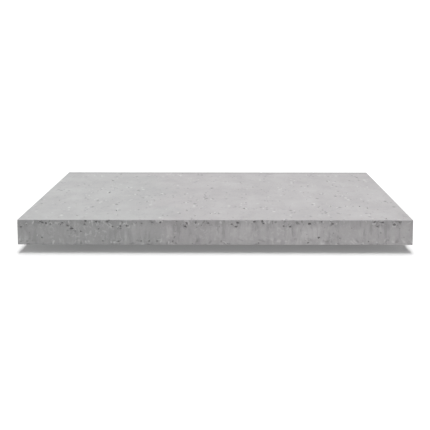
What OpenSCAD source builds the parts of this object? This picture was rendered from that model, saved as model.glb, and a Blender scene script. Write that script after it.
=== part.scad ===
// Square cast tooling slab, 12 inches wide, standing on four glued rubber feet.
// The origin is on the bench, under the middle of the slab. +X is to the right, +Y to the back.

/* [Slab] */
// Width of the slab, left to right
slab_w = 305; // [200:1:610]
// Depth of the slab, front to back
slab_l = 305; // [200:1:610]
// Thickness of the slab
slab_t = 19.5; // [10:0.5:60]
// Width of the chamfer that breaks every edge of the slab
arris = 0.8; // [0.2:0.1:3]

/* [Feet] */
// Diameter of a foot at the end that is glued on
foot_d = 20; // [12:1:36]
// How much narrower a foot is at its tip than at its glued end
foot_taper = 3; // [1:0.5:4]
// Height of the rubber of a foot
foot_h = 6; // [3:0.5:15]
// Radius of the rounded rim at the tip of a foot
rim_r = 1; // [0.5:0.1:1.5]
// Width of the flat ring at the tip, on which a foot stands
ring_w = 2.5; // [1:0.5:3]
// Depth of the dished recess inside that ring
dish_depth = 0.8; // [0.3:0.1:2]
// Distance from the side faces of the slab to the middle of each foot
foot_inset = 50; // [25:1:80]

/* [Adhesive] */
// Thickness of the adhesive disc between a foot and the slab
adhesive_t = 0.6; // [0.3:0.1:1.5]
// Margin by which the adhesive disc stays inside the edge of the foot
adhesive_margin = 0.5; // [0:0.25:2]

/* [Hidden] */
$fn = 64;

// Steps in the quarter circle of a foot's rim
rim_steps = 6;
// Height of the slab's underside above the bench
slab_z = foot_h + adhesive_t;
foot_tip_d = foot_d - foot_taper;
adhesive_d = foot_d - 2 * adhesive_margin;
// Radius of the recess, inside the rim and the ring
dish_r = foot_tip_d / 2 - rim_r - ring_w;

// Places of the feet, as signs along X and Y
FRONT_LEFT = [-1, -1];
FRONT_RIGHT = [1, -1];
BACK_LEFT = [-1, 1];
BACK_RIGHT = [1, 1];

// Middle of the foot at a corner, seen from above
function foot_place(corner) = [
    corner.x * (slab_w / 2 - foot_inset),
    corner.y * (slab_l / 2 - foot_inset)
];

// Rectangle whose four corners are cut by a chamfer
module chamfered_rectangle(x, y, cut) {
    inner_x = x / 2 - cut;
    inner_y = y / 2 - cut;
    polygon([
        [-inner_x, -y / 2], [inner_x, -y / 2], [x / 2, -inner_y], [x / 2, inner_y],
        [inner_x, y / 2], [-inner_x, y / 2], [-x / 2, inner_y], [-x / 2, -inner_y]
    ]);
}

// The cast block, with all twelve edges broken
module slab() {
    color("#a5a3a4")
        translate([0, 0, slab_z + slab_t / 2])
            intersection() {
                linear_extrude(slab_t, center = true)
                    chamfered_rectangle(slab_w, slab_l, arris);
                rotate([90, 0, 0])
                    linear_extrude(slab_l, center = true)
                        chamfered_rectangle(slab_w, slab_t, arris);
                rotate([90, 0, 90])
                    linear_extrude(slab_w, center = true)
                        chamfered_rectangle(slab_l, slab_t, arris);
            }
}

// Moulded rubber foot: a tapered puck with a rounded rim and a dished tip
module foot(corner) {
    rim_centre = foot_tip_d / 2 - rim_r;
    rim = [for (i = [0 : rim_steps])
        let (turn = -90 + 90 * i / rim_steps)
            [rim_centre + rim_r * cos(turn), rim_r + rim_r * sin(turn)]];
    color("#26262a")
        translate(foot_place(corner))
            rotate_extrude()
                polygon(concat(
                    [[0, dish_depth], [dish_r - dish_depth, dish_depth], [dish_r, 0]],
                    rim,
                    [[foot_d / 2, foot_h], [0, foot_h]]
                ));
}

// Disc of double-sided foam tape that holds a foot to the underside
module adhesive(corner) {
    color("#d8d6cf")
        translate([foot_place(corner).x, foot_place(corner).y, foot_h])
            cylinder(d = adhesive_d, h = adhesive_t);
}

slab();
foot(FRONT_LEFT);  // foot_front_left
foot(FRONT_RIGHT);  // foot_front_right
foot(BACK_LEFT);  // foot_back_left
foot(BACK_RIGHT);  // foot_back_right
adhesive(FRONT_LEFT);  // adhesive_front_left
adhesive(FRONT_RIGHT);  // adhesive_front_right
adhesive(BACK_LEFT);  // adhesive_back_left
adhesive(BACK_RIGHT);  // adhesive_back_right
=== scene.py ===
"""A square cast tooling slab on four glued rubber feet, finished around its packed CAD frame.

The slab is one block of fair-faced concrete. Its mould leaves soft arrises, and the air that was
trapped in the pour leaves open pockets, which crowd under the top edge of every side face.
"""

import math
from functools import partial

import bmesh
import bpy
from bpy.props import FloatProperty, FloatVectorProperty, IntProperty, PointerProperty
from mathutils import Euler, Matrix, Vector


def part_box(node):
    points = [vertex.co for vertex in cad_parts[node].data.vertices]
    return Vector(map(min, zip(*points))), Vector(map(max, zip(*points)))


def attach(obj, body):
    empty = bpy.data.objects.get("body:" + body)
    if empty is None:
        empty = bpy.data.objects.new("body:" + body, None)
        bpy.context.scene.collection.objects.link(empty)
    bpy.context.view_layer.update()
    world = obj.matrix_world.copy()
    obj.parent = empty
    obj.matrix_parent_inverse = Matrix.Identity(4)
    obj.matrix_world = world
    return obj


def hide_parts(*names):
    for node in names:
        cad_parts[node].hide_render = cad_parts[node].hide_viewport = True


bl_info = {
    "name": "Cast tooling slab",
    "version": (1, 0, 0),
    "blender": (4, 5, 0),
    "location": "3D View > Sidebar > Slab",
    "description": "Builds a cast tooling slab with its air pockets, rubber feet, tape and stage",
    "category": "Add Mesh",
}

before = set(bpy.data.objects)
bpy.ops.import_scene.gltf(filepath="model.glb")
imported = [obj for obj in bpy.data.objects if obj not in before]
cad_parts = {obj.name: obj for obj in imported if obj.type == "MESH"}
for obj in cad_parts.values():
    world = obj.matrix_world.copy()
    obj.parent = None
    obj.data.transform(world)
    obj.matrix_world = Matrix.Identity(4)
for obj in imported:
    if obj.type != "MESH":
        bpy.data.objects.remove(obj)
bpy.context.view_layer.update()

MM = 0.001
BODY = "root"
CORNERS = ("front_left", "front_right", "back_left", "back_right")
SLAB_LOW, SLAB_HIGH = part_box("slab")
SLAB_SIZE = SLAB_HIGH - SLAB_LOW
SLAB_CENTRE = (SLAB_HIGH + SLAB_LOW) / 2
SLAB_HALF = SLAB_SIZE / 2

# The pockets that stand out on the front face, in millimetres. Each has its distance from the
# left end, its distance below the top edge, and its width
FRONT_POCKETS = (
    (3, 5.5, 1.7), (17.5, 1.4, 1.4), (19.5, 2.2, 1.8), (35, 2.4, 1.6), (39, 4.6, 1.7),
    (42, 6.6, 2.0), (49, 9, 1.3), (52, 3.4, 1.5), (61, 1.4, 1.9), (63, 7, 1.4), (69.5, 1.4, 1.7),
    (79.5, 7, 1.2), (96, 2.8, 1.3), (104, 1.8, 1.5), (123, 1.2, 1.3), (129.5, 5, 2.0),
    (147.5, 2.4, 1.6), (165.5, 3.2, 1.6), (168.5, 5.2, 1.6), (170, 2, 2.0), (183, 1.2, 1.9),
    (190, 2.6, 1.5), (205.5, 4.8, 1.5), (210.5, 5.2, 1.8), (225.5, 2.8, 2.1), (234.5, 1.4, 1.5),
    (243, 2.8, 1.8), (277.5, 4.8, 1.5), (281.5, 1.8, 1.9), (290.5, 3.4, 2.2), (294.5, 1.6, 1.6),
    (66, 16.5, 1.3), (78, 16.7, 1.3), (95.5, 16.5, 1.3), (102, 16.5, 1.3), (108, 16.5, 1.3),
    (120, 16.7, 1.3), (157.5, 16.5, 1.2), (271, 16.7, 1.2),
)


def linear(code):
    """An sRGB hex colour as the linear red, green, blue and alpha that Blender's sockets hold."""
    parts = [int(code[place:place + 2], 16) / 255 for place in (1, 3, 5)]
    return (*(p / 12.92 if p <= 0.04045 else ((p + 0.055) / 1.055) ** 2.4 for p in parts), 1.0)


def length(name, millimetres, description):
    """A length property with a default in millimetres."""
    return FloatProperty(name=name, description=description, default=millimetres * MM, min=0.0,
                         precision=5, subtype="DISTANCE", unit="LENGTH")


def share(name, value, description):
    """A property that is a share of one."""
    return FloatProperty(name=name, description=description, default=value, min=0.0, max=1.0,
                         subtype="FACTOR")


def angle(name, degrees, description):
    """An angle property with a default in degrees."""
    return FloatProperty(name=name, description=description, default=math.radians(degrees),
                         subtype="ANGLE", unit="ROTATION")


def amount(name, value, description):
    """A plain number property."""
    return FloatProperty(name=name, description=description, default=value, min=0.0)


def colour(name, code, description):
    """A colour property with a default in sRGB hex."""
    return FloatVectorProperty(name=name, description=description, default=linear(code), size=4,
                               min=0.0, max=1.0, subtype="COLOR")


# ---------------------------------------------------------------------------------------------
# What a user may change
# ---------------------------------------------------------------------------------------------


class BlockSettings(bpy.types.PropertyGroup):
    """The cast block and its concrete."""

    row_spacing: length("Row Spacing", 3.2, "Distance between the rows of faces on a flat face")
    arris_reach: length("Arris Reach", 1.4, "Width of the strip along each edge that is rounded")
    arris_small: length("Smallest Arris", 0.2, "Radius of the arris where the mould was tight")
    arris_large: length("Largest Arris", 0.6, "Radius of the arris where the edge was rubbed")
    waviness: length("Waviness", 0.07, "How far a face dips below true between its high spots")
    paste_dark: colour("Dark Paste", "#929292", "The darker clouds of the cement paste")
    paste_light: colour("Light Paste", "#A3A3A3", "The lighter clouds of the cement paste")
    # This darker grey paints the bleed band and other darker marks, and also the painted shade
    # along the far edge of the top
    bleed: colour("Bleed Band", "#777777", "The damp-looking band where water rose to the top")
    laitance: colour("Laitance", "#BCBCBC", "The pale milk of fine cement that ran down the mould")
    cast: colour("Warm Cast", "#FFFCFD", "The faint warmth that iron in the sand gives one end")
    # Dark specks, and the dust in the pockets. Deep in a pocket, and in holes too fine to cut, this
    # colour is painted shade as well
    soot: colour("Pocket Dirt", "#464646", "The dust that has settled in the pockets")


class PocketSettings(bpy.types.PropertyGroup):
    """The air pockets and the chipped arrises."""

    top_density: amount("Top Density", 9500.0, "Pockets per square metre of the top face")
    side_density: amount("Side Density", 140000.0, "Pockets per square metre of a crowded side")
    under_density: amount("Underside Density", 1800.0, "Pockets per square metre of the underside")
    smallest: length("Smallest Pocket", 0.22, "Radius of the smallest pocket that is cut")
    largest: length("Largest Pocket", 1.1, "Radius of the largest pocket that is cut")
    companions: IntProperty(name="Companions", default=9, min=0,
                            description="Small pockets around each that stands out")
    spread: length("Companion Spread", 3.0, "How far the companions lie from it")
    mouth: length("Mouth Depth", 0.22, "Depth of the skin that crumbled away round a pocket")
    chip_spacing: length("Chip Spacing", 4.0, "Distance between the places where an arris may chip")
    chip_share: share("Chip Share", 0.3, "Share of those places that are chipped")
    chip_size: length("Chip Size", 0.75, "Radius of the largest chip")
    seed: IntProperty(name="Seed", default=11, description="Changes where the pockets fall")


class FootSettings(bpy.types.PropertyGroup):
    """The rubber feet and their tape."""

    taper: length("Taper", 1.5, "How much smaller the radius of a foot is at its tip")
    rim: length("Rim Radius", 1.0, "Radius of the rounded rim at the tip")
    ring: length("Ring Width", 2.5, "Width of the flat ring that the foot stands on")
    dish: length("Dish Depth", 0.8, "Depth of the dished recess inside the ring")
    gate: length("Gate Pip Radius", 0.7, "Radius of the pip that the moulding gate left")
    squeeze: length("Tape Squeeze", 0.12, "How far the tape bulges at its edge")
    rubber: colour("Rubber", "#232325", "The moulded rubber")
    scuffed: colour("Scuffed Rubber", "#4A4A4C", "The rubber where it rubs on the bench")
    tape: colour("Tape", "#D3D0C8", "The foam tape")


class StageSettings(bpy.types.PropertyGroup):
    """The floor, the light and the camera."""

    distance: length("Camera Distance", 891.3, "From the front face of the slab to the camera")
    height: length("Camera Height", 144.6, "From the top face of the slab up to the camera")
    sideways: length("Camera Offset", 8.1, "How far the camera stands to the right of the middle")
    pitch: angle("Camera Pitch", 8.975, "How far the camera looks down")
    turn: angle("Camera Turn", 0.516, "How far the camera turns to the left")
    lens: amount("Lens", 98.27, "Focal length in millimetres, on a sensor 36 mm wide")
    strip: amount("Strip Strength", 1.0, "Strength of the strip light overhead")
    strip_width: angle("Strip Width", 26.0, "How wide the strip is, seen from the slab")
    horizon: amount("Horizon Light", 1.1, "Brightness of the studio's walls")
    ceiling: amount("Ceiling Light", 0.02, "Brightness of the studio above its walls")
    glow: amount("Table Glow", 0.16, "Brightness of the light that comes through the table")
    table: colour("Table", "#D0D0D0", "The pale shooting table")


SETTINGS = {
    "slab_block": BlockSettings,
    "slab_pockets": PocketSettings,
    "slab_feet": FootSettings,
    "slab_stage": StageSettings,
}


# ---------------------------------------------------------------------------------------------
# Node trees
# ---------------------------------------------------------------------------------------------

MATHS = "ShaderNodeMath"
VECTOR = "ShaderNodeVectorMath"
SPLIT = "ShaderNodeSeparateXYZ"
JOIN = "ShaderNodeCombineXYZ"
RANGE = "ShaderNodeMapRange"
NOISE = "ShaderNodeTexNoise"
CELLS = "ShaderNodeTexVoronoi"
MIX = "ShaderNodeMix"
RANDOM = "FunctionNodeRandomValue"
SWITCH = "GeometryNodeSwitch"

# An edge that bends less than this is shaded smooth
SOFT_EDGE = math.radians(32)


def add(tree, kind, *values, stops=(), **settings):
    """Adds a node, sets it up and returns its first output that is in use.

    The values feed its inputs in order, or by name when they are one dictionary. Each is a plain
    value, the output that feeds the input, a list of outputs, or None to leave the input alone.
    The stops are the places and values along a ramp.
    """
    node = tree.nodes.new(kind)
    for name, value in settings.items():
        setattr(node, name, value)
    sockets = [socket for socket in node.inputs if socket.enabled]
    if values and isinstance(values[0], dict):
        fed = [(next(s for s in sockets if s.name == name), value)
               for name, value in values[0].items()]
    else:
        fed = list(zip(sockets, values))
    for socket, value in fed:
        if isinstance(value, (bpy.types.NodeSocket, list)):
            for source in value if isinstance(value, list) else [value]:
                tree.links.new(source, socket)
        elif value is not None:
            socket.default_value = value
    for place, (position, value) in enumerate(stops):
        elements = node.color_ramp.elements
        stop = elements[place] if place < len(elements) else elements.new(position)
        stop.position = position
        stop.color = (value, value, value, 1.0)
    return next((socket for socket in node.outputs if socket.enabled), None)


def geometry_tree(name, sockets):
    """A new Geometry Nodes tree with these named inputs, what adds a node to it, and the inputs."""
    tree = bpy.data.node_groups.new(name, "GeometryNodeTree")
    for direction in ("INPUT", "OUTPUT"):
        tree.interface.new_socket("Geometry", in_out=direction, socket_type="NodeSocketGeometry")
    for socket, kind in sockets.items():
        tree.interface.new_socket(socket, in_out="INPUT", socket_type="NodeSocket" + kind)
    carried = tree.nodes.new("NodeGroupInput").outputs
    return tree, partial(add, tree), {socket.name: socket for socket in carried if socket.name}


def end_tree(node, geometry, material):
    """Ends a tree: sharp rims stay sharp, instances become mesh, and the mesh gets its material."""
    edge_angle = node("GeometryNodeInputMeshEdgeAngle")
    soft = node(MATHS, edge_angle, SOFT_EDGE, operation="LESS_THAN")
    faces = node("GeometryNodeSetShadeSmooth", {"Geometry": geometry, "Shade Smooth": True},
                 domain="FACE")
    edges = node("GeometryNodeSetShadeSmooth", {"Geometry": faces, "Shade Smooth": soft},
                 domain="EDGE")
    plain = node("GeometryNodeRealizeInstances", edges)
    coated = node("GeometryNodeSetMaterial", {"Geometry": plain, "Material": material})
    node("NodeGroupOutput", coated)


def run_tree(piece, tree, values):
    """Puts a tree on a piece, with its inputs set by name."""
    modifier = piece.modifiers.new(tree.name, "NODES")
    modifier.node_group = tree
    for item in tree.interface.items_tree:
        if item.item_type == "SOCKET" and item.in_out == "INPUT" and item.name in values:
            modifier[item.identifier] = values[item.name]


def make_plain(piece):
    """Turns what a piece's modifiers show into its own plain mesh."""
    depsgraph = bpy.context.evaluated_depsgraph_get()
    mesh = bpy.data.meshes.new_from_object(piece.evaluated_get(depsgraph), depsgraph=depsgraph)
    piece.modifiers.clear()
    piece.data = mesh
    mesh.name = piece.name


def new_piece(name, mesh=None):
    """A new object in the scene."""
    piece = bpy.data.objects.new(name, mesh or bpy.data.meshes.new(name))
    bpy.context.scene.collection.objects.link(piece)
    return piece


# ---------------------------------------------------------------------------------------------
# The cast block
# ---------------------------------------------------------------------------------------------

ARRIS_ROWS = 4
POCKET_SHAPES = 8
# How far along the noise the next shape of pocket is taken
SHAPE_STEP = (7.0, 3.0, 1.0)
# A face looks up when its normal rises further than this
FACES_UP = 0.9
FRONT_FACING = (0.0, -1.0, 0.0)

# Sizes of the patterns that shape the block and place its pockets
ARRIS_CRUMBLE = 28 * MM
FACE_WAVES = 38 * MM
POCKET_CLUSTERS = 18 * MM

# The share of its pockets that a side keeps at each height, from its base to its top edge. Air
# rises along the mould, so they crowd under the top edge
CROWDING = ((0.0, 0.35), (0.14, 0.1), (0.6, 0.05), (0.78, 0.5), (0.9, 1.0), (1.0, 0.5))
# A higher power leaves fewer large pockets
POCKET_RARITY = 4.0
# The least and the greatest size of a companion against its pocket, and of a chip against the
# largest chip
COMPANION_SIZES = (0.22, 0.55)
CHIP_SIZES = (0.5, 1.0)

# The least and the greatest stretch of a pocket and of a chip. A pocket is drawn out further, and
# most of all on the top, where the float pulled it from front to back, give or take the spin
POCKET_STRETCH = ((0.7, 0.8, 0.8), (1.2, 1.1, 1.4))
CHIP_STRETCH = ((0.7, 0.7, 1.0), (1.0, 1.0, 2.2))
DRAWN_ON_SIDE = (1.0, 1.3, 1.0)
DRAWN_ON_TOP = (0.85, 2.4, 1.0)
TOP_SPIN = 0.3

# How much wider than its pocket a crumbled mouth is, how far it slips aside against the pocket's
# radius, and the radii in millimetres between which pockets start to have one
MOUTH_WIDTH = 1.9
MOUTH_SLIP = 1.6
MOUTH_RADII = (0.3, 1.6)
# How far a chip slips off its edge, against the largest chip
CHIP_SLIP = 0.75


def cast_block_tree():
    """A box whose edges are rounded by an uneven radius and whose faces dip a little."""
    tree, node, given = geometry_tree("cast block", {
        "Size": "Vector", "Centre": "Vector", "Rows": "Vector", "Arris Share": "Vector",
        "Arris Reach": "Float", "Smallest Arris": "Float", "Largest Arris": "Float",
        "Waviness": "Float", "Material": "Material",
    })
    rows = node(SPLIT, given["Rows"]).node.outputs
    cube = node("GeometryNodeMeshCube", (2.0, 2.0, 2.0), rows["X"], rows["Y"], rows["Z"])

    # Rows are gathered towards the edges: the outer ones share the arris, the others the flat
    place = node("GeometryNodeInputPosition")
    outward = node(VECTOR, place, operation="ABSOLUTE")
    half = node(VECTOR, given["Size"], 0.5, operation="SCALE")
    reach = node(JOIN, *[given["Arris Reach"]] * 3)
    inner_rows = node(VECTOR, outward, given["Arris Share"], operation="MINIMUM")
    flat = node(VECTOR, inner_rows, given["Arris Share"], operation="DIVIDE")
    outer_rows = node(VECTOR, outward, given["Arris Share"], operation="SUBTRACT")
    beyond = node(VECTOR, outer_rows, (0, 0, 0), operation="MAXIMUM")
    rest = node(VECTOR, (1, 1, 1), given["Arris Share"], operation="SUBTRACT")
    on_flat = node(VECTOR, flat, node(VECTOR, half, reach, operation="SUBTRACT"),
                   operation="MULTIPLY")
    on_arris = node(VECTOR, node(VECTOR, beyond, rest, operation="DIVIDE"), reach,
                    operation="MULTIPLY")
    gathered = node(VECTOR, on_flat, on_arris, operation="ADD")
    box = node(VECTOR, gathered, node(VECTOR, place, operation="SIGN"), operation="MULTIPLY")

    # The radius changes slowly along an edge, with a finer crumble on top
    crumble = node(NOISE, box, 1 / ARRIS_CRUMBLE, 4.0, 0.75)
    radius = node(RANGE, crumble, 0.3, 0.7, given["Smallest Arris"], given["Largest Arris"])
    core = node(VECTOR, half, node(JOIN, radius, radius, radius), operation="SUBTRACT")
    back = node(VECTOR, core, -1.0, operation="SCALE")
    inner = node(VECTOR, node(VECTOR, box, back, operation="MAXIMUM"), core, operation="MINIMUM")
    away = node(VECTOR, box, inner, operation="SUBTRACT")
    normal = node(VECTOR, away, operation="NORMALIZE")
    dips = node(NOISE, box, 1 / FACE_WAVES, 2.0, 0.5)
    dip = node(MATHS, dips, given["Waviness"], operation="MULTIPLY")
    depth = node(MATHS, radius, dip, operation="SUBTRACT")
    rounded = node(VECTOR, inner, node(VECTOR, normal, depth, operation="SCALE"), operation="ADD")
    there = node(VECTOR, rounded, given["Centre"], operation="ADD")
    shaped = node("GeometryNodeSetPosition", {"Geometry": cube, "Position": there})
    end_tree(node, shaped, given["Material"])
    return tree


def lumpy_balls(node):
    """Lumpy balls with a radius of about one, as instances to pick from."""
    shapes = []
    for number in range(POCKET_SHAPES):
        ball = node("GeometryNodeMeshIcoSphere", 1.0, 2)
        place = node("GeometryNodeInputPosition")
        shift = tuple(number * step for step in SHAPE_STEP)
        moved = node(VECTOR, place, shift, operation="ADD")
        size = node(RANGE, node(NOISE, moved, 1.1, 1.0), 0.25, 0.75, 0.55, 1.3)
        lumpy = node(VECTOR, place, size, operation="SCALE")
        shape = node("GeometryNodeSetPosition", {"Geometry": ball, "Position": lumpy})
        shapes.append(node("GeometryNodeGeometryToInstance", shape))
    return node("GeometryNodeJoinGeometry", shapes)


def along_face(node, facing, slip, seed, reach):
    """A random offset that keeps to the face, up to a slip times a reach each way."""
    drift = node(RANDOM, (-slip,) * 3, (slip,) * 3, None, seed, data_type="FLOAT_VECTOR")
    off_face = node(VECTOR, drift, facing, operation="PROJECT")
    on_face = node(VECTOR, drift, off_face, operation="SUBTRACT")
    return node(VECTOR, on_face, reach, operation="SCALE")


def scattered_pockets(node, given):
    """Points where the pour left pockets, each with its size and the way its face looks."""
    normal_z = node(SPLIT, node("GeometryNodeInputNormal")).node.outputs["Z"]
    upward = node(MATHS, normal_z, FACES_UP, operation="GREATER_THAN")
    downward = node(MATHS, normal_z, -FACES_UP, operation="LESS_THAN")
    density = node(SWITCH, upward, given["Side Density"], given["Top Density"], input_type="FLOAT")
    density = node(SWITCH, downward, density, given["Underside Density"], input_type="FLOAT")
    points = node("GeometryNodeDistributePointsOnFaces", {
        "Mesh": given["Geometry"], "Density": density, "Seed": given["Seed"]})
    facing = points.node.outputs["Normal"]
    slope = node(MATHS, node(SPLIT, facing).node.outputs["Z"], operation="ABSOLUTE")
    on_side = node(MATHS, slope, FACES_UP, operation="LESS_THAN")

    place = node("GeometryNodeInputPosition")
    height, low, high = (node(SPLIT, point).node.outputs["Z"]
                         for point in (place, given["Low"], given["High"]))
    crowd = node("ShaderNodeValToRGB", node(RANGE, height, low, high), stops=CROWDING)
    clusters = node(NOISE, place, 1 / POCKET_CLUSTERS, 2.0)
    clustered = node(RANGE, clusters, 0.42, 0.6, 0.15, 1.0)
    kept_share = node(MATHS, clustered, node(SWITCH, on_side, 1.0, crowd, input_type="FLOAT"),
                      operation="MULTIPLY")
    luck = node(RANDOM, 0.0, 1.0, None, 1)
    spare = node(MATHS, luck, kept_share, operation="GREATER_THAN")
    kept = node("GeometryNodeDeleteGeometry", points, spare, domain="POINT")
    rarity = node(MATHS, node(RANDOM, 0.0, 1.0, None, 2), POCKET_RARITY, operation="POWER")
    size = node(RANGE, rarity, 0.0, 1.0, given["Smallest"], given["Largest"])
    sized = node("GeometryNodeStoreNamedAttribute",
                 {"Geometry": kept, "Name": "pocket", "Value": size}, data_type="FLOAT")
    return node("GeometryNodeStoreNamedAttribute",
                {"Geometry": sized, "Name": "facing", "Value": facing}, data_type="FLOAT_VECTOR")


def placed_pockets(node, given):
    """The pockets that stand out, each with smaller companions beside it on its face."""
    places = node("GeometryNodeObjectInfo", {"Object": given["Places"]}).node.outputs["Geometry"]
    placed = node("GeometryNodeMeshToPoints", {"Mesh": places})
    copies = node(MATHS, given["Companions"], 1.0, operation="ADD")
    family = node("GeometryNodeDuplicateElements", {"Geometry": placed, "Amount": copies},
                  domain="POINT")
    first = node(MATHS, family.node.outputs["Duplicate Index"], 0.5, operation="LESS_THAN")
    facing = node("GeometryNodeInputNamedAttribute", "facing", data_type="FLOAT_VECTOR")
    sideways = along_face(node, facing, 1.0, 3, given["Spread"])
    offset = node(SWITCH, first, sideways, (0, 0, 0), input_type="VECTOR")
    shifted = node("GeometryNodeSetPosition", {"Geometry": family, "Offset": offset})
    own = node("GeometryNodeInputNamedAttribute", "pocket", data_type="FLOAT")
    small = node(MATHS, own, node(RANDOM, *COMPANION_SIZES, None, 5), operation="MULTIPLY")
    size = node(SWITCH, first, small, own, input_type="FLOAT")
    return node("GeometryNodeStoreNamedAttribute",
                {"Geometry": shifted, "Name": "pocket", "Value": size}, data_type="FLOAT")


def air_pocket_tree():
    """Cuts open air pockets into the faces of a closed mesh."""
    tree, node, given = geometry_tree("air pockets", {
        "Places": "Object", "Low": "Vector", "High": "Vector", "Top Density": "Float",
        "Side Density": "Float", "Underside Density": "Float", "Smallest": "Float",
        "Largest": "Float", "Companions": "Int", "Spread": "Float", "Mouth Depth": "Float",
        "Seed": "Int", "Material": "Material",
    })
    centres = node("GeometryNodeJoinGeometry",
                   [scattered_pockets(node, given), placed_pockets(node, given)])

    # Each pocket points out of its face. On the top they all lie from front to back
    size = node("GeometryNodeInputNamedAttribute", "pocket", data_type="FLOAT")
    facing = node("GeometryNodeInputNamedAttribute", "facing", data_type="FLOAT_VECTOR")
    on_top = node(MATHS, node(SPLIT, facing).node.outputs["Z"], FACES_UP, operation="GREATER_THAN")
    spin = node(SWITCH, on_top, node(RANDOM, 0.0, math.tau, None, 8),
                node(RANDOM, -TOP_SPIN, TOP_SPIN, None, 9), input_type="FLOAT")
    aligned = node("FunctionNodeAlignRotationToVector", {"Vector": facing}, axis="Z")
    turned_round = node("FunctionNodeAxisAngleToRotation",
                        {"Axis": (0.0, 0.0, 1.0), "Angle": spin})
    rotation = node("FunctionNodeRotateRotation", aligned, turned_round, rotation_space="LOCAL")
    drawn_out = node(SWITCH, on_top, DRAWN_ON_SIDE, DRAWN_ON_TOP, input_type="VECTOR")
    stretch = node(RANDOM, *POCKET_STRETCH, None, 6, data_type="FLOAT_VECTOR")
    form = node(VECTOR, stretch, drawn_out, operation="MULTIPLY")
    shape = node(RANDOM, 0, POCKET_SHAPES - 1, None, 7, data_type="INT")
    balls = lumpy_balls(node)
    holes = node("GeometryNodeInstanceOnPoints", centres, True, balls, True, shape, rotation,
                 node(VECTOR, form, size, operation="SCALE"))

    # Round the larger ones the skin crumbled away: shallow, wider, and a little to one side
    crumbled = node(MATHS, node(RANDOM, *MOUTH_RADII, None, 10),
                    node(MATHS, size, 1 / MM, operation="MULTIPLY"), operation="LESS_THAN")
    sideways = along_face(node, facing, MOUTH_SLIP, 11, size)
    beside = node("GeometryNodeSetPosition", {"Geometry": centres, "Offset": sideways})
    width = node(MATHS, size, MOUTH_WIDTH, operation="MULTIPLY")
    wide = node(SPLIT, node(VECTOR, form, width, operation="SCALE")).node.outputs
    mouths = node("GeometryNodeInstanceOnPoints", beside, crumbled, balls, True, shape, rotation,
                  node(JOIN, wide["X"], wide["Y"], given["Mouth Depth"]))
    cut = node("GeometryNodeMeshBoolean", {"Mesh 1": given["Geometry"], "Mesh 2": [holes, mouths]},
               operation="DIFFERENCE", solver="MANIFOLD")
    end_tree(node, cut, given["Material"])
    return tree


def chipped_arris_tree():
    """Knocks small chips out of the twelve edges of a box-shaped mesh."""
    tree, node, given = geometry_tree("chipped arrises", {
        "Size": "Vector", "Centre": "Vector", "Spacing": "Float", "Share": "Float",
        "Chip Size": "Float", "Material": "Material",
    })
    box = node("GeometryNodeMeshCube", given["Size"])
    there = node("GeometryNodeTransform", {"Geometry": box, "Translation": given["Centre"]})
    stations = node("GeometryNodeCurveToPoints", {
        "Curve": node("GeometryNodeMeshToCurve", there), "Length": given["Spacing"]}, mode="LENGTH")
    along = stations.node.outputs["Rotation"]
    whole = node(MATHS, node(RANDOM, 0.0, 1.0, None, 1), given["Share"], operation="GREATER_THAN")
    chosen = node("GeometryNodeDeleteGeometry", stations, whole, domain="POINT")
    drift = node(RANDOM, (-CHIP_SLIP,) * 3, (CHIP_SLIP,) * 3, None, 2, data_type="FLOAT_VECTOR")
    offset = node(VECTOR, drift, given["Chip Size"], operation="SCALE")
    placed = node("GeometryNodeSetPosition", {"Geometry": chosen, "Offset": offset})
    size = node(MATHS, given["Chip Size"], node(RANDOM, *CHIP_SIZES, None, 3), operation="MULTIPLY")
    form = node(RANDOM, *CHIP_STRETCH, None, 4, data_type="FLOAT_VECTOR")
    shape = node(RANDOM, 0, POCKET_SHAPES - 1, None, 5, data_type="INT")
    chips = node("GeometryNodeInstanceOnPoints", placed, None, lumpy_balls(node), True, shape,
                 along, node(VECTOR, form, size, operation="SCALE"))
    cut = node("GeometryNodeMeshBoolean", {"Mesh 1": given["Geometry"], "Mesh 2": chips},
               operation="DIFFERENCE", solver="MANIFOLD")
    end_tree(node, cut, given["Material"])
    return tree


def pocket_places():
    """A helper object with one point for each pocket that stands out, with its size and facing."""
    corner = Vector((SLAB_LOW.x, SLAB_LOW.y, SLAB_HIGH.z))
    mesh = bpy.data.meshes.new("pocket_places")
    points = [corner + Vector((along, 0.0, -down)) * MM for along, down, _ in FRONT_POCKETS]
    mesh.from_pydata(points, [], [])
    sizes = mesh.attributes.new("pocket", "FLOAT", "POINT")
    sizes.data.foreach_set("value", [width / 2 * MM for _, _, width in FRONT_POCKETS])
    facings = mesh.attributes.new("facing", "FLOAT_VECTOR", "POINT")
    facings.data.foreach_set("vector", FRONT_FACING * len(FRONT_POCKETS))
    return new_piece("pocket_places", mesh)


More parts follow.
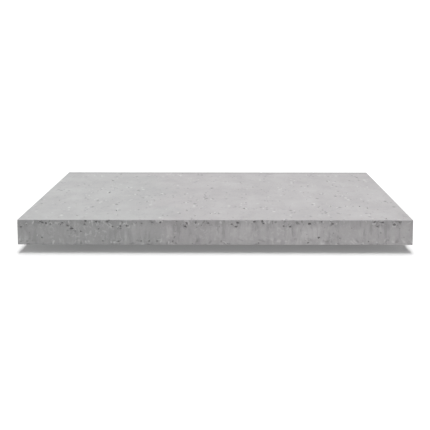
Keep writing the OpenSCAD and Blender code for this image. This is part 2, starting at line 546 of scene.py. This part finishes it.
def cast_slab(block, pockets):
    """The whole slab: the block, its air pockets and its chips, as one plain mesh."""
    slab = new_piece("cast_slab")
    concrete = cast_concrete(block)
    rows = [max(2, round((side - 2 * block.arris_reach) / block.row_spacing)) + 1 + 2 * ARRIS_ROWS
            for side in SLAB_SIZE]
    arris_share = [1 - 2 * ARRIS_ROWS / (count - 1) for count in rows]
    run_tree(slab, cast_block_tree(), {
        "Size": SLAB_SIZE, "Centre": SLAB_CENTRE, "Rows": [float(count) for count in rows],
        "Arris Share": arris_share, "Arris Reach": block.arris_reach,
        "Smallest Arris": block.arris_small, "Largest Arris": block.arris_large,
        "Waviness": block.waviness, "Material": concrete})
    places = pocket_places()
    run_tree(slab, air_pocket_tree(), {
        "Places": places, "Low": SLAB_LOW, "High": SLAB_HIGH, "Top Density": pockets.top_density,
        "Side Density": pockets.side_density, "Underside Density": pockets.under_density,
        "Smallest": pockets.smallest, "Largest": pockets.largest,
        "Companions": pockets.companions, "Spread": pockets.spread,
        "Mouth Depth": pockets.mouth, "Seed": pockets.seed, "Material": concrete})
    run_tree(slab, chipped_arris_tree(), {
        "Size": SLAB_SIZE, "Centre": SLAB_CENTRE, "Spacing": pockets.chip_spacing,
        "Share": pockets.chip_share, "Chip Size": pockets.chip_size, "Material": concrete})
    make_plain(slab)
    bpy.data.objects.remove(places)
    return slab


# ---------------------------------------------------------------------------------------------
# Materials
# ---------------------------------------------------------------------------------------------


def new_material(name):
    """An empty material, what adds a node to it, and the place of each point on its piece."""
    material = bpy.data.materials.new(name)
    material.use_nodes = True
    material.node_tree.nodes.clear()
    node = partial(add, material.node_tree)
    return material, node, node("ShaderNodeTexCoord").node.outputs["Object"]


# How deep the finest relief of each material is
SAND_RELIEF = 0.12 * MM
RUBBER_RELIEF = 0.04 * MM
FOAM_RELIEF = 0.05 * MM

# Sizes of the patterns in the concrete
CLOUDS = 55 * MM
MOTTLE = 11 * MM
SAND = 1.1 * MM
GRIT = 0.5 * MM
CALM = 30 * MM
ZONES = 24 * MM
BAND_WAVES = 14 * MM
BOARD_LINES = 4.5 * MM
BOARD_PATCHES = 20 * MM
DRIFTS = 9 * MM
RUNS = 3.6 * MM
PUDDLES = 7 * MM
RIM_BREAKS = 3 * MM
BLOTS = 2.6 * MM
BASE_SPOTS = 3.6 * MM
EDGE_TICKS = 2.4 * MM
TICK_CROWDS = 22 * MM
FLOAT_PATCHES = 17 * MM
FLOAT_ZONES = 13 * MM
FLOAT_MARKS = 6 * MM
STROKES = 9 * MM
STROKE_BREAKS = 7 * MM
PINHOLES = 3.4 * MM
CRACKS = 16 * MM

# How far the uneven patterns carry a mark: the limit of the bleed band, the runs, the rims of
# dried puddles, and the limit of the warm end
BAND_SWAY = 6 * MM
RUN_SWAY = 4 * MM
PUDDLE_SWAY = 10 * MM
WARM_SWAY = 120 * MM

# Depths below a face, or distances in from an edge, at which a mark starts and is full
NEAR_FACE = (1.4 * MM, 0.7 * MM)
BELOW_TOP = (0.0, 0.4 * MM)
IN_FROM_EDGE = (0.0, 0.6 * MM)
BLEED_BAND = (10 * MM, 5 * MM)
BASE_ROW = (6 * MM, 2.5 * MM)
TICK_ROW = (8 * MM, 5 * MM)
OFF_EDGE = (0.3 * MM, 1.5 * MM)
FAR_EDGE = (18 * MM, 2 * MM)
SKINNED = (0.08 * MM, 0.16 * MM)
# The depths at which a pocket turns darker with dust and painted shade
DUSTY = (0.26 * MM, 0.55 * MM)
# Where the slab's darker end fades out and its warm end fades in, along its length
DARK_END = (-0.6 * SLAB_HALF.x, 0.1 * SLAB_HALF.x)
WARM_END = (-10 * MM, 20 * MM)

# How far the mould drew out its upright lines and runs, and the float its marks: the less of the
# distance the pattern sees, the longer it is drawn out
UPRIGHT = (1.0, 1.0, 0.06)
DOWNWARD = (1.0, 1.0, 0.2)
SQUAT = (1.0, 1.0, 0.7)
HUNG = (1.0, 0.6, 1.0)
FLOATED = (1.0, 0.36, 1.0)

# A mask that lets a mark through all over the block
EVERYWHERE = 1.0


def find_face(node, place):
    """How far a point of the block lies from each of its faces, and how much it is on each kind."""
    axes = node(SPLIT, place).node.outputs
    from_middle = node(SPLIT, node(VECTOR, place, operation="ABSOLUTE")).node.outputs
    in_from_x = node(MATHS, SLAB_HALF.x, from_middle["X"], operation="SUBTRACT")
    in_from_y = node(MATHS, SLAB_HALF.y, from_middle["Y"], operation="SUBTRACT")
    face = {
        "along": axes["X"],
        "side": node(MATHS, in_from_x, in_from_y, operation="MINIMUM"),
        "top": node(MATHS, SLAB_HIGH.z, axes["Z"], operation="SUBTRACT"),
        "base": node(MATHS, axes["Z"], SLAB_LOW.z, operation="SUBTRACT"),
        "behind": node(MATHS, SLAB_HIGH.y, axes["Y"], operation="SUBTRACT"),
    }
    upright = node(MATHS, face["top"], face["base"], operation="MINIMUM")
    face["buried"] = node(MATHS, face["side"], upright, operation="MINIMUM")
    # The arris belongs to two faces, so the marks of each fade out across it
    near_side = node(RANGE, face["side"], *NEAR_FACE)
    below_top = node(RANGE, face["top"], *BELOW_TOP)
    face["on_side"] = node(MATHS, near_side, below_top, operation="MULTIPLY")
    near_top = node(RANGE, face["top"], *NEAR_FACE)
    in_from_edge = node(RANGE, face["side"], *IN_FROM_EDGE)
    face["on_top"] = node(MATHS, near_top, in_from_edge, operation="MULTIPLY")
    return face


def off_contour(node, pattern):
    """How far a pattern is from its middle value, whose contour a thin line then follows."""
    return node(MATHS, node(MATHS, pattern, 0.5, operation="SUBTRACT"), operation="ABSOLUTE")


def lay_marks(node, ground, marks, where):
    """Lays tints over the ground in order, each at its strength where all its masks let it."""
    for tint, strength, *masks in marks:
        factor = strength
        for mask in (*masks, where):
            factor = node(MATHS, factor, mask, operation="MULTIPLY")
        ground = node(MIX, factor, ground, tint, data_type="RGBA")
    return ground


def paste(node, block, place, face):
    """The cement paste: soft clouds, a finer mottle, sand, and a darker end."""
    clouds = node(NOISE, place, 1 / CLOUDS, 3.0, 0.6)
    mottle = node(NOISE, place, 1 / MOTTLE, 4.0, 0.6)
    sand = node(NOISE, place, 1 / SAND, 3.0, 0.7)
    # The float rubbed some of the mottle and the sand out of the top
    strength = node(RANGE, face["on_top"], 0.0, 1.0, 0.8, 0.4)
    tone = node(MATHS, mottle, strength, clouds, operation="MULTIPLY_ADD")
    grain = node(RANGE, face["on_top"], 0.0, 1.0, 0.95, 0.6)
    tone = node(MATHS, node(MATHS, sand, 0.5, operation="SUBTRACT"), grain, tone,
                operation="MULTIPLY_ADD")
    ground = node(MIX, node(RANGE, tone, 0.35, 1.35), tuple(block.paste_dark),
                  tuple(block.paste_light), data_type="RGBA")
    # Darker towards the left end, strongly on the sides and a little on the top
    bleed = tuple(block.bleed)
    last_poured = node(RANGE, face["along"], *DARK_END, 1.0, 0.0)
    ground = lay_marks(node, ground, [(bleed, 0.05, last_poured)], face["on_top"])
    return lay_marks(node, ground, [(bleed, 0.42, last_poured)], face["on_side"])


def side_marks(node, colours, place, face, ground):
    """What the mould leaves on a side: a bleed band, runs and puddles of laitance, and spots."""
    milk, bleed, soot = colours
    # Some stretches of the face came out of the mould clean
    lively = node(RANGE, node(NOISE, place, 1 / CALM, 1.0), 0.42, 0.56, 0.25, 1.0)
    # Bleed water leaves a darker band under the top edge, with an uneven lower limit
    uneven = node(NOISE, place, 1 / BAND_WAVES, 2.0)
    depth = node(MATHS, uneven, BAND_SWAY, face["top"], operation="MULTIPLY_ADD")
    band = node(RANGE, depth, *BLEED_BAND)
    below_band = node(RANGE, depth, *reversed(BLEED_BAND), 0.2, 1.0)
    # The mould was drawn upwards and left faint upright lines
    upright = node(VECTOR, place, UPRIGHT, operation="MULTIPLY")
    lines = node(NOISE, upright, 1 / BOARD_LINES, 3.0, 0.6)
    lined = node(RANGE, node(NOISE, place, 1 / BOARD_PATCHES, 1.0), 0.5, 0.6, 0.2, 1.0)

    # Everything that flowed is warped, and keeps to some zones of the face
    drift = node(NOISE, place, 1 / DRIFTS, 2.0).node.outputs["Color"]
    centred = node(VECTOR, drift, (0.5, 0.5, 0.5), operation="SUBTRACT")
    bent, curled = (node(VECTOR, place, node(VECTOR, centred, sway, operation="SCALE"),
                         operation="ADD") for sway in (RUN_SWAY, PUDDLE_SWAY))
    zones = node(NOISE, place, 1 / ZONES, 2.0)
    running = node(RANGE, zones, 0.46, 0.56)
    flow = node(NOISE, node(VECTOR, bent, DOWNWARD, operation="MULTIPLY"), 1 / RUNS, 3.0, 0.55)
    puddled = node(RANGE, zones, 0.52, 0.44)
    field = node(NOISE, node(VECTOR, curled, SQUAT, operation="MULTIPLY"), 1 / PUDDLES, 1.0, 0.5)
    rims = node(RANGE, off_contour(node, field), 0.05, 0.01)
    broken = node(RANGE, node(NOISE, place, 1 / RIM_BREAKS, 2.0, 0.6), 0.48, 0.58)
    blots = node(RANGE, node(NOISE, curled, 1 / BLOTS, 2.0, 0.6), 0.56, 0.68)

    # Pale and dark spots crowd along the base
    axes = node(SPLIT, curled).node.outputs
    around = node(JOIN, node(MATHS, axes["X"], axes["Y"], operation="ADD"), axes["Z"], 0.0)
    spots = node(CELLS, around, 1 / BASE_SPOTS, voronoi_dimensions="2D")
    chosen = node("ShaderNodeSeparateColor", spots.node.outputs["Color"]).node.outputs
    at_base = node(RANGE, face["base"], *BASE_ROW)
    spot = node(RANGE, spots, 0.42, 0.2)
    # Pale and dark ticks hang from the top edge
    hung = node(VECTOR, around, HUNG, operation="MULTIPLY")
    ticks = node(CELLS, hung, 1 / EDGE_TICKS, voronoi_dimensions="2D")
    picked = node("ShaderNodeSeparateColor", ticks.node.outputs["Color"]).node.outputs
    at_top = node(RANGE, depth, *TICK_ROW)
    tick = node(RANGE, ticks, 0.4, 0.2)
    crowded = node(RANGE, node(NOISE, place, 1 / TICK_CROWDS, 2.0), 0.42, 0.54, 0.3, 1.0)
    off_edge = node(RANGE, face["top"], *OFF_EDGE, 0.4, 1.0)
    return lay_marks(node, ground, [
        (bleed, 0.25, band),
        (milk, 0.18, node(RANGE, lines, 0.5, 0.66), lined),
        (bleed, 0.24, node(RANGE, lines, 0.5, 0.34), lined),
        (milk, 0.36, node(RANGE, flow, 0.52, 0.64), running, below_band, lively),
        (bleed, 0.35, node(RANGE, flow, 0.46, 0.38), running),
        (milk, 0.42, rims, puddled, broken, lively),
        (milk, 0.28, blots, below_band, lively),
        (milk, 0.56, spot, node(RANGE, chosen["Red"], 0.66, 0.7), at_base),
        (soot, 0.3, spot, node(RANGE, chosen["Green"], 0.66, 0.7), at_base),
        (soot, 0.58, tick, node(RANGE, picked["Red"], 0.6, 0.64), at_top, crowded, off_edge),
        (milk, 0.56, tick, node(RANGE, picked["Green"], 0.74, 0.78), at_top),
    ], face["on_side"])


def top_marks(node, colours, place, face, ground):
    """What the float leaves on the top: patches and short marks drawn from front to back."""
    milk, bleed, soot = colours
    drawn = node(VECTOR, place, FLOATED, operation="MULTIPLY")
    patch = node(NOISE, drawn, 1 / FLOAT_PATCHES, 4.0, 0.6)
    # Painted shade: the top is a shade darker along its far edge, where that arris catches less
    # light
    lifted = node(RANGE, face["behind"], *FAR_EDGE)
    # It also pulled short strokes out of the wet skin
    stroke = node(RANGE, off_contour(node, node(NOISE, drawn, 1 / STROKES, 0.0)), 0.03, 0.008)
    short = node(RANGE, node(NOISE, drawn, 1 / STROKE_BREAKS, 2.0, 0.6), 0.56, 0.62)
    marks = [
        (milk, 0.09, node(RANGE, patch, 0.5, 0.64)),
        (bleed, 0.12, node(RANGE, patch, 0.48, 0.36)),
        (bleed, 0.34, lifted),
        (bleed, 0.3, stroke, short),
    ]
    # Dashes keep to zones where the float caught, and come in two sizes with ragged edges
    caught = node(RANGE, node(NOISE, drawn, 1 / FLOAT_ZONES, 2.0, 0.6), 0.52, 0.6)
    axes = node(SPLIT, drawn).node.outputs
    rough = node(NOISE, place, 1 / SAND, 2.0)
    for size, shift in ((FLOAT_MARKS, 0.0), (0.6 * FLOAT_MARKS, 5.0)):
        shifted = node(MATHS, axes["Y"], shift, operation="ADD")
        cells = node(CELLS, node(JOIN, axes["X"], shifted, 0.0), 1 / size, voronoi_dimensions="2D")
        chosen = node("ShaderNodeSeparateColor", cells.node.outputs["Color"]).node.outputs
        ragged = node(MATHS, rough, 0.3, cells, operation="MULTIPLY_ADD")
        dash = node(RANGE, ragged, 0.45, 0.25)
        marks.append((milk, 0.52, dash, node(RANGE, chosen["Red"], 0.7, 0.74), caught))
        marks.append((soot, 0.42, dash, node(RANGE, chosen["Green"], 0.66, 0.7), caught))
    return lay_marks(node, ground, marks, face["on_top"])


def fine_marks(node, colours, place, face, ground):
    """Hairlines, grains of sand, the painted shade of holes too small to cut, rubbed arrises, and
    pockets darkened deep inside by dust and painted shade.
    """
    milk, bleed, soot = colours
    shrinkage = node(NOISE, place, 1 / CRACKS, 2.0, 0.6, None, 0.8)
    hairline = node(RANGE, off_contour(node, shrinkage), 0.0045, 0.001)
    cracked = node(RANGE, node(NOISE, place, 1 / (2 * CRACKS), 1.0), 0.52, 0.6)
    cells = node(CELLS, place, 1 / PINHOLES)
    chosen = node("ShaderNodeSeparateColor", cells.node.outputs["Color"]).node.outputs
    grains = node(RANGE, cells, 0.2, 0.1)
    pinholes = node(RANGE, cells, 0.14, 0.07)
    # Where the skin is gone, at an arris or round a pocket, the cement is pale. Deeper in a pocket
    # it is darker, with dust and painted shade
    return lay_marks(node, ground, [
        (bleed, 0.35, hairline, cracked),
        (milk, 0.4, grains, node(RANGE, chosen["Green"], 0.84, 0.86)),
        # Dark dots of painted shade stand in for holes too fine to cut
        (soot, 0.6, pinholes, node(RANGE, chosen["Red"], 0.8, 0.82)),
        (milk, 0.4, node(RANGE, face["buried"], *SKINNED)),
        (soot, 0.56, node(RANGE, face["buried"], *DUSTY)),
    ], EVERYWHERE)


def cast_concrete(block):
    """Fair-faced concrete, cast in a smooth mould, floated on top and left matt.

    The eye reads it by soft clouds in the paste, fine sand, a darker band where water bled up
    under the top edge, pale runs of laitance below it, and dark pockets with pale crumbled rims.
    Deep in the pockets the dark is dust and painted shade. Along the far edge of the top it is
    painted shade.
    """
    material, node, place = new_material("fair_faced_cast_concrete")
    face = find_face(node, place)
    surface = paste(node, block, place, face)
    colours = [tuple(tint) for tint in (block.laitance, block.bleed, block.soot)]
    for leave_marks in (side_marks, top_marks, fine_marks):
        surface = leave_marks(node, colours, place, face, surface)
    wander = node(NOISE, place, 1 / CLOUDS, 2.0)
    warm_limit = node(MATHS, wander, WARM_SWAY, face["along"], operation="MULTIPLY_ADD")
    warmth = node(RANGE, warm_limit, *WARM_END)
    surface = node(MIX, warmth, surface, tuple(block.cast), data_type="RGBA",
                   blend_type="MULTIPLY")

    mottle = node(NOISE, place, 1 / MOTTLE, 4.0, 0.6)
    roughness = node(RANGE, mottle, 0.3, 0.7, 0.74, 0.9)
    sand = node(NOISE, place, 1 / SAND, 3.0, 0.7)
    grit = node(NOISE, place, 1 / GRIT, 2.0)
    relief = node(MATHS, mottle, 1.5, node(MATHS, sand, 0.6, grit, operation="MULTIPLY_ADD"),
                  operation="MULTIPLY_ADD")
    bump = node("ShaderNodeBump", {"Strength": 0.5, "Distance": SAND_RELIEF, "Height": relief})
    shader = node("ShaderNodeBsdfPrincipled", {
        "Base Color": surface, "Roughness": roughness, "Normal": bump, "IOR": 1.5,
        "Specular IOR Level": 0.35})
    node("ShaderNodeOutputMaterial", shader)
    return material


# Sizes of the patterns in the rubber, the tape and the table. The grain of the rubber's
# spark-eroded mould and the cells of the foam are drawn larger than real, so that they show
SCUFF_HEIGHT = 0.5 * MM
SCUFF_PATCHES = 2.2 * MM
RUBBER_BLOOM = 6 * MM
RUBBER_GRAIN = 0.35 * MM
FOAM_CELLS = 0.25 * MM
TAPE_DUST = 1.5 * MM
TABLE_HAZE = 400 * MM


def moulded_rubber(feet, tip):
    """Black rubber from a steel mould: a fine even grain, dull, and greyed where it is scuffed."""
    material, node, place = new_material("moulded_black_rubber")
    height = node(SPLIT, place).node.outputs["Z"]
    worn = node(RANGE, height, tip + SCUFF_HEIGHT, tip, 0.0, 0.8)
    patchy = node(NOISE, place, 1 / SCUFF_PATCHES, 4.0, 0.7)
    scuff = node(MATHS, worn, patchy, operation="MULTIPLY")
    bloom = node(NOISE, place, 1 / RUBBER_BLOOM, 3.0)
    faint = node(RANGE, bloom, 0.35, 0.75, 0.0, 0.18)
    surface = node(MIX, node(MATHS, scuff, faint, operation="ADD"), tuple(feet.rubber),
                   tuple(feet.scuffed), data_type="RGBA")
    grain = node(NOISE, place, 1 / RUBBER_GRAIN, 2.0)
    bump = node("ShaderNodeBump", {"Strength": 0.35, "Distance": RUBBER_RELIEF, "Height": grain})
    roughness = node(RANGE, patchy, 0.3, 0.7, 0.58, 0.78)
    shader = node("ShaderNodeBsdfPrincipled", {
        "Base Color": surface, "Roughness": roughness, "Normal": bump, "IOR": 1.52})
    node("ShaderNodeOutputMaterial", shader)
    return material


def die_cut_tape(feet):
    """White acrylic foam tape, die-cut: chalky, with the open cells of its cut edge."""
    material, node, place = new_material("die_cut_foam_tape")
    cells = node(CELLS, place, 1 / FOAM_CELLS)
    shade = node(RANGE, cells, 0.1, 0.6, 0.25, 0.0)
    dust = node(NOISE, place, 1 / TAPE_DUST, 3.0)
    faint = node(RANGE, dust, 0.45, 0.7, 0.0, 0.25)
    surface = node(MIX, node(MATHS, shade, faint, operation="ADD"), tuple(feet.tape),
                   tuple(feet.scuffed), data_type="RGBA")
    bump = node("ShaderNodeBump", {"Strength": 0.5, "Distance": FOAM_RELIEF, "Height": cells})
    shader = node("ShaderNodeBsdfPrincipled", {
        "Base Color": surface, "Roughness": 0.85, "Normal": bump, "IOR": 1.47})
    node("ShaderNodeOutputMaterial", shader)
    return material


def shooting_table(stage):
    """A pale matt acrylic table with a faint light behind it, as used for product pictures."""
    material, node, place = new_material("shooting_table")
    haze = node(NOISE, place, 1 / TABLE_HAZE, 2.0)
    shader = node("ShaderNodeBsdfPrincipled", {
        "Base Color": tuple(stage.table), "Roughness": node(RANGE, haze, 0.0, 1.0, 0.55, 0.6),
        "Specular IOR Level": 0.1, "Emission Color": (1.0, 1.0, 1.0, 1.0),
        "Emission Strength": stage.glow})
    node("ShaderNodeOutputMaterial", shader)
    return material


# ---------------------------------------------------------------------------------------------
# Feet and tape
# ---------------------------------------------------------------------------------------------

TURN_STEPS = 72
# A radius smaller than this is on the axis, and an edge that bends less than this is smooth
ON_AXIS = 1e-7
TURNED_EDGE = math.radians(40)

# Small sizes that the mould gives a foot
PIP_HEIGHT = 0.3 * MM
GLUED_EDGE = 0.2 * MM
BEAD_HEIGHT = 0.35 * MM
BEAD_STEP = 0.1 * MM

# Short outlines in millimetres, each as steps outwards and upwards from a point: the rounded top
# and the flared root of the gate pip from its radius, the fillets of the dish from the edges of
# its floor and of the ring, and the groove that grips the bench from the middle of the ring
PIP_TOP = ((-0.15, 0.0), (0.0, 0.1))
PIP_ROOT = ((0.1, 0.0),)
FLOOR_FILLET = ((-0.5, 0.0), (-0.1, -0.06))
RING_FILLET = ((-0.3, 0.14), (0.0, 0.03), (0.25, 0.0))
GROOVE = ((-0.3, 0.0), (-0.12, 0.22), (0.12, 0.22), (0.3, 0.0))
RIM_STEPS = 8
EDGE_STEPS = 3
BULGE_STEP = 30


def steps_from(radius, height, steps):
    """Points of an outline at these steps, in millimetres, from a radius and a height."""
    return [(radius + outwards * MM, height + upwards * MM) for outwards, upwards in steps]


def arc(centre_r, centre_z, radius, start, end, steps):
    """Points on an arc in the radius and height plane, by angles in degrees."""
    turns = [math.radians(start + (end - start) * step / steps) for step in range(steps + 1)]
    return [(centre_r + radius * math.cos(turn), centre_z + radius * math.sin(turn))
            for turn in turns]


def turned(name, profile, centre, material):
    """A closed solid of revolution. The profile runs from axis to axis, as (radius, height)."""
    shell = bmesh.new()
    rings = []
    for radius, height in profile:
        if radius < ON_AXIS:
            rings.append([shell.verts.new((centre.x, centre.y, height))] * TURN_STEPS)
            continue
        turns = [math.tau * step / TURN_STEPS for step in range(TURN_STEPS)]
        rings.append([shell.verts.new((centre.x + radius * math.cos(turn),
                                       centre.y + radius * math.sin(turn), height))
                      for turn in turns])
    for ring, following in zip(rings, rings[1:]):
        for step in range(TURN_STEPS):
            after = (step + 1) % TURN_STEPS
            corners = (ring[step], ring[after], following[after], following[step])
            face = shell.faces.new(dict.fromkeys(corners))
            face.smooth = True
    bmesh.ops.recalc_face_normals(shell, faces=shell.faces)
    for edge in shell.edges:
        edge.smooth = edge.calc_face_angle(0.0) < TURNED_EDGE
    mesh = bpy.data.meshes.new(name)
    shell.to_mesh(mesh)
    shell.free()
    mesh.materials.append(material)
    return new_piece(name, mesh)


def foot_profile(feet, low, high):
    """The outline of a moulded foot, from the gate pip in its dish round to its glued face."""
    wide = (high.x - low.x) / 2
    tip = wide - feet.taper
    rim = feet.rim
    dish = tip - rim - feet.ring
    base, floor, top = low.z, low.z + feet.dish, high.z
    pip_top = floor - PIP_HEIGHT
    outline = [(0.0, pip_top)]
    outline += steps_from(feet.gate, pip_top, PIP_TOP)
    outline += steps_from(feet.gate, floor, PIP_ROOT)
    outline += steps_from(dish - feet.dish, floor, FLOOR_FILLET)
    outline += steps_from(dish, base, RING_FILLET)
    outline += steps_from(dish + feet.ring / 2, base, GROOVE)
    outline += arc(tip - rim, base + rim, rim, -90, 0, RIM_STEPS)
    # The wall draws out of the mould, and the parting line leaves a low bead near the glued face
    slope = (wide - tip) / (top - base - rim)
    shoulder = top - GLUED_EDGE - BEAD_HEIGHT
    climb = shoulder - base - rim
    wall = tip + slope * climb
    outline += [(tip + slope * climb * 0.5, base + rim + climb / 2),
                (wall - BEAD_STEP, shoulder - BEAD_STEP), (wide, shoulder),
                (wide, shoulder + BEAD_HEIGHT)]
    outline += arc(wide - GLUED_EDGE, top - GLUED_EDGE, GLUED_EDGE, 0, 90, EDGE_STEPS)[1:]
    outline += [(0.0, top)]
    return outline


def tape_profile(feet, low, high):
    """The outline of a disc of tape that is pressed until its edge bulges."""
    wide = (high.x - low.x) / 2
    middle = (low.z + high.z) / 2
    half = (high.z - low.z) / 2
    bulge = [(wide - feet.squeeze + feet.squeeze * math.cos(turn), middle + half * math.sin(turn))
             for turn in (math.radians(step) for step in range(-90, 91, BULGE_STEP))]
    return [(0.0, low.z), *bulge, (0.0, high.z)]


# ---------------------------------------------------------------------------------------------
# The stage
# ---------------------------------------------------------------------------------------------

# How high the white walls rise, seen from the slab, and where the dim ceiling starts
WALL_TOP = math.radians(11)
CEILING_EDGE = math.radians(18)
# The strip of soft light runs from front to back over the slab. Each part has its lean towards
# the camera in degrees, and its share of the light
STRIP_PARTS = ((-40, 0.65), (-20, 1.5), (0, 1.85), (20, 0.65), (42, 0.5), (60, 0.2))
# From the middle of the table to its sides, in metres, and the width of the sensor in millimetres
TABLE_REACH = 30.0
SENSOR_WIDTH = 36.0


def lay_table(stage):
    """The plain floor that the slab stands on."""
    shell = bmesh.new()
    corners = [shell.verts.new((x * TABLE_REACH, y * TABLE_REACH, 0.0))
               for x, y in ((-1, -1), (1, -1), (1, 1), (-1, 1))]
    shell.faces.new(corners)
    mesh = bpy.data.meshes.new("shooting_table")
    shell.to_mesh(mesh)
    shell.free()
    mesh.materials.append(shooting_table(stage))
    table = new_piece("shooting_table", mesh)


def hang_strip(stage):
    """A long soft light overhead, from front to back, as a row of parts that overlap."""
    for number, (lean, part) in enumerate(STRIP_PARTS):
        light = bpy.data.lights.new(f"strip_{number}", "SUN")
        light.energy = stage.strip * part
        light.angle = stage.strip_width
        lamp = bpy.data.objects.new(light.name, light)
        lamp.rotation_euler = Euler((math.radians(lean), 0.0, 0.0), "XYZ")
        bpy.context.scene.collection.objects.link(lamp)


def light_studio(stage):
    """White walls round the table, and a dim ceiling."""
    world = bpy.data.worlds.new("studio")
    world.use_nodes = True
    tree = world.node_tree
    tree.nodes.clear()
    node = partial(add, tree)
    direction = node("ShaderNodeTexCoord").node.outputs["Generated"]
    rise = node(SPLIT, direction).node.outputs["Z"]
    strength = node(RANGE, rise, math.sin(WALL_TOP), math.sin(CEILING_EDGE), stage.horizon,
                    stage.ceiling, interpolation_type="SMOOTHSTEP")
    background = node("ShaderNodeBackground", (1.0, 1.0, 1.0, 1.0), strength)
    node("ShaderNodeOutputWorld", background)
    bpy.context.scene.world = world


def set_camera(stage):
    """The camera in front of the slab, a little to the right and looking down."""
    data = bpy.data.cameras.new("camera")
    data.sensor_width = SENSOR_WIDTH
    data.lens = stage.lens
    data.clip_start = 0.01
    data.clip_end = 100.0
    camera = bpy.data.objects.new("camera", data)
    camera.location = (SLAB_CENTRE.x + stage.sideways, SLAB_LOW.y - stage.distance,
                       SLAB_HIGH.z + stage.height)
    camera.rotation_euler = Euler((math.pi / 2 - stage.pitch, 0.0, stage.turn), "XYZ")
    bpy.context.scene.collection.objects.link(camera)
    bpy.context.scene.camera = camera


# ---------------------------------------------------------------------------------------------
# Operators and panel
# ---------------------------------------------------------------------------------------------


def fit(piece, node):
    """Puts a finished piece on its body, in place of its CAD node."""
    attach(piece, BODY)
    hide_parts(node)


class SLAB_OT_cast(bpy.types.Operator):
    """Cast the slab, with its air pockets and chipped arrises"""

    bl_idname = "slab.cast"
    bl_label = "Cast Slab"

    def execute(self, context):
        slab = cast_slab(context.scene.slab_block, context.scene.slab_pockets)
        if not slab.data.polygons:
            raise RuntimeError("the slab came out empty")
        fit(slab, "slab")
        return {"FINISHED"}


class SLAB_OT_mould_feet(bpy.types.Operator):
    """Mould the four rubber feet"""

    bl_idname = "slab.mould_feet"
    bl_label = "Mould Feet"

    def execute(self, context):
        feet = context.scene.slab_feet
        rubber = moulded_rubber(feet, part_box("foot_front_left")[0].z)
        for corner in CORNERS:
            low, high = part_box("foot_" + corner)
            foot = turned("rubber_foot_" + corner, foot_profile(feet, low, high),
                          (low + high) / 2, rubber)
            fit(foot, "foot_" + corner)
        return {"FINISHED"}


class SLAB_OT_cut_tape(bpy.types.Operator):
    """Cut the four discs of foam tape"""

    bl_idname = "slab.cut_tape"
    bl_label = "Cut Tape"

    def execute(self, context):
        feet = context.scene.slab_feet
        foam = die_cut_tape(feet)
        for corner in CORNERS:
            low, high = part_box("adhesive_" + corner)
            disc = turned("foam_tape_" + corner, tape_profile(feet, low, high),
                          (low + high) / 2, foam)
            fit(disc, "adhesive_" + corner)
        return {"FINISHED"}


class SLAB_OT_set_stage(bpy.types.Operator):
    """Set up the table, the light and the camera"""

    bl_idname = "slab.set_stage"
    bl_label = "Set Stage"

    def execute(self, context):
        stage = context.scene.slab_stage
        lay_table(stage)
        hang_strip(stage)
        light_studio(stage)
        set_camera(stage)
        context.scene.view_settings.view_transform = "Standard"
        return {"FINISHED"}


class SLAB_PT_panel(bpy.types.Panel):
    """Lists the slab's settings and the operators that make it"""

    bl_idname = "SLAB_PT_panel"
    bl_label = "Cast Tooling Slab"
    bl_space_type = "VIEW_3D"
    bl_region_type = "UI"
    bl_category = "Slab"

    def draw(self, context):
        for operator in OPERATORS:
            self.layout.operator(operator.bl_idname)
        for holder, settings in SETTINGS.items():
            box = self.layout.box()
            box.label(text=settings.__doc__)
            for name in settings.__annotations__:
                box.prop(getattr(context.scene, holder), name)


OPERATORS = (SLAB_OT_cast, SLAB_OT_mould_feet, SLAB_OT_cut_tape, SLAB_OT_set_stage)
CLASSES = (*SETTINGS.values(), *OPERATORS, SLAB_PT_panel)


def register():
    for cls in CLASSES:
        bpy.utils.register_class(cls)
    for holder, settings in SETTINGS.items():
        setattr(bpy.types.Scene, holder, PointerProperty(type=settings))


def unregister():
    for holder in SETTINGS:
        delattr(bpy.types.Scene, holder)
    for cls in reversed(CLASSES):
        bpy.utils.unregister_class(cls)


def main():
    register()
    bpy.ops.slab.cast()
    bpy.ops.slab.mould_feet()
    bpy.ops.slab.cut_tape()
    bpy.ops.slab.set_stage()


if __name__ == "__main__":
    main()
